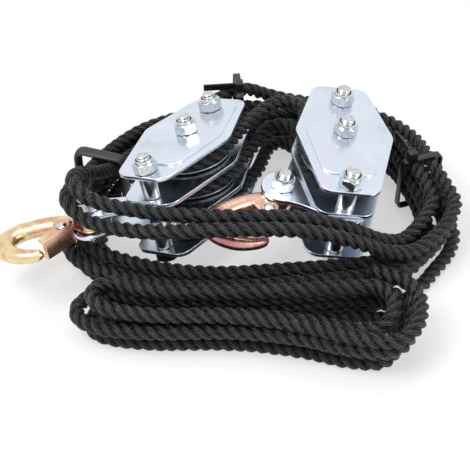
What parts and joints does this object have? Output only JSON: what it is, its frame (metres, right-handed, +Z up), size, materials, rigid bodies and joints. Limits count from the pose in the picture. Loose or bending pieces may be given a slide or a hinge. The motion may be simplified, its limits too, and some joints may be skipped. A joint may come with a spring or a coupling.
{
  "type": "rope block and tackle",
  "caption": "Block and tackle with zinc-plated cheek plates, passivated eye hooks with spring latches, and black twisted rope reeved between them and coiled round them with a band and ties",
  "frame": {"origin": "on the floor under the middle of the whole bundle", "axes": "+X to the right across the bundle, toward the two-sheave block; +Y toward the back; +Z up"},
  "size_m": [0.2906, 0.2306, 0.0848],
  "materials": {
    "zinc_plate": "satin",
    "bright_fastener": "gloss",
    "sheave_metal": "satin",
    "passivated_steel": "satin",
    "rope_fibre": "satin",
    "binding_plastic": "satin"
  },
  "bodies": {
    "bundle": {"right_plate_1": "zinc_plate", "right_plate_2": "zinc_plate", "right_plate_3": "zinc_plate", "right_plate_4": "zinc_plate", "right_hook_end_bolt": "bright_fastener", "right_hook_end_nut": "bright_fastener", "right_axle_bolt": "bright_fastener", "right_axle_nut": "bright_fastener", "right_far_end_bolt": "bright_fastener", "right_far_end_nut": "bright_fastener", "right_far_spacer_top": "bright_fastener", "right_hanger_spacer_top": "bright_fastener", "right_far_spacer_middle": "bright_fastener", "right_hanger_spacer_middle": "bright_fastener", "right_far_spacer_bottom": "bright_fastener", "right_hanger_spacer_bottom": "bright_fastener", "right_axle_bush": "bright_fastener", "left_plate_1": "zinc_plate", "left_plate_2": "zinc_plate", "left_plate_3": "zinc_plate", "left_plate_4": "zinc_plate", "left_hook_end_bolt": "bright_fastener", "left_hook_end_nut": "bright_fastener", "left_axle_bolt": "bright_fastener", "left_axle_nut": "bright_fastener", "left_far_end_bolt": "bright_fastener", "left_far_end_nut": "bright_fastener", "left_far_spacer_top": "bright_fastener", "left_hanger_spacer_top": "bright_fastener", "left_far_spacer_middle": "bright_fastener", "left_hanger_spacer_middle": "bright_fastener", "left_far_spacer_bottom": "bright_fastener", "left_hanger_spacer_bottom": "bright_fastener", "rope_coil": "rope_fibre", "rope_hank": "rope_fibre", "rope_reeved": "rope_fibre", "rope_link": "rope_fibre", "rope_band": "binding_plastic", "side_tie": "binding_plastic", "back_tie": "binding_plastic"},
    "right_wheel_top": {"right_sheave_top": "sheave_metal"},
    "right_wheel_middle": {"right_sheave_middle": "sheave_metal"},
    "right_hanger": {"right_strap_upper": "zinc_plate", "right_strap_lower": "zinc_plate", "right_hook_bolt": "bright_fastener", "right_hook_nut": "bright_fastener"},
    "right_hook_body": {"right_hook": "passivated_steel", "right_latch_rivet": "bright_fastener"},
    "right_latch_body": {"right_latch": "passivated_steel"},
    "left_wheel_top": {"left_sheave_top": "sheave_metal"},
    "left_wheel_middle": {"left_sheave_middle": "sheave_metal"},
    "left_wheel_bottom": {"left_sheave_bottom": "sheave_metal"},
    "left_hanger": {"left_strap_upper": "zinc_plate", "left_strap_lower": "zinc_plate", "left_hook_bolt": "bright_fastener", "left_hook_nut": "bright_fastener"},
    "left_hook_body": {"left_hook": "passivated_steel", "left_latch_rivet": "bright_fastener"},
    "left_latch_body": {"left_latch": "passivated_steel"}
  },
  "joints": [
    {"name": "right_wheel_top_spin", "type": "hinge", "parent": "bundle", "child": "right_wheel_top", "pos_m": [0.06438, 0.02603, 0.04], "axis": [0.1219, 0, 0.9925], "continuous": true},
    {"name": "right_wheel_middle_spin", "type": "hinge", "parent": "bundle", "child": "right_wheel_middle", "pos_m": [0.06438, 0.02603, 0.04], "axis": [0.1219, 0, 0.9925], "continuous": true},
    {"name": "right_hanger_swing", "type": "hinge", "parent": "bundle", "child": "right_hanger", "pos_m": [0.06438, -0.02197, 0.04], "axis": [0.1219, 0, 0.9925], "range_deg": [-4, 36]},
    {"name": "right_hook_swing", "type": "hinge", "parent": "right_hanger", "child": "right_hook_body", "pos_m": [0.02811, -0.0057, 0.04445], "axis": [0.1219, 0, 0.9925], "range_deg": [-8, 38]},
    {"name": "right_latch_open", "type": "hinge", "parent": "right_hook_body", "child": "right_latch_body", "pos_m": [0.01945, -0.02463, 0.04552], "axis": [0.1219, 0, 0.9925], "range_deg": [-36, 0], "stiffness_Nm_per_rad": 0.02, "springref_deg": 5.73},
    {"name": "left_wheel_top_spin", "type": "hinge", "parent": "bundle", "child": "left_wheel_top", "pos_m": [-0.02512, 0.01943, 0.042], "axis": [-0.1811, 0.2107, 0.9606], "continuous": true},
    {"name": "left_wheel_middle_spin", "type": "hinge", "parent": "bundle", "child": "left_wheel_middle", "pos_m": [-0.02512, 0.01943, 0.042], "axis": [-0.1811, 0.2107, 0.9606], "continuous": true},
    {"name": "left_wheel_bottom_spin", "type": "hinge", "parent": "bundle", "child": "left_wheel_bottom", "pos_m": [-0.02512, 0.01943, 0.042], "axis": [-0.1811, 0.2107, 0.9606], "continuous": true},
    {"name": "left_hanger_swing", "type": "hinge", "parent": "bundle", "child": "left_hanger", "pos_m": [-0.04754, -0.02272, 0.04702], "axis": [-0.1811, 0.2107, 0.9606], "range_deg": [-4, 2]},
    {"name": "left_hook_swing", "type": "hinge", "parent": "left_hanger", "child": "left_hook_body", "pos_m": [-0.08681, -0.02199, 0.03945], "axis": [-0.1811, 0.2107, 0.9606], "range_deg": [-60, 32]},
    {"name": "left_latch_open", "type": "hinge", "parent": "left_hook_body", "child": "left_latch_body", "pos_m": [-0.10253, -0.03567, 0.03949], "axis": [-0.1811, 0.2107, 0.9606], "range_deg": [-36, 0], "stiffness_Nm_per_rad": 0.02, "springref_deg": 5.73}
  ]
}
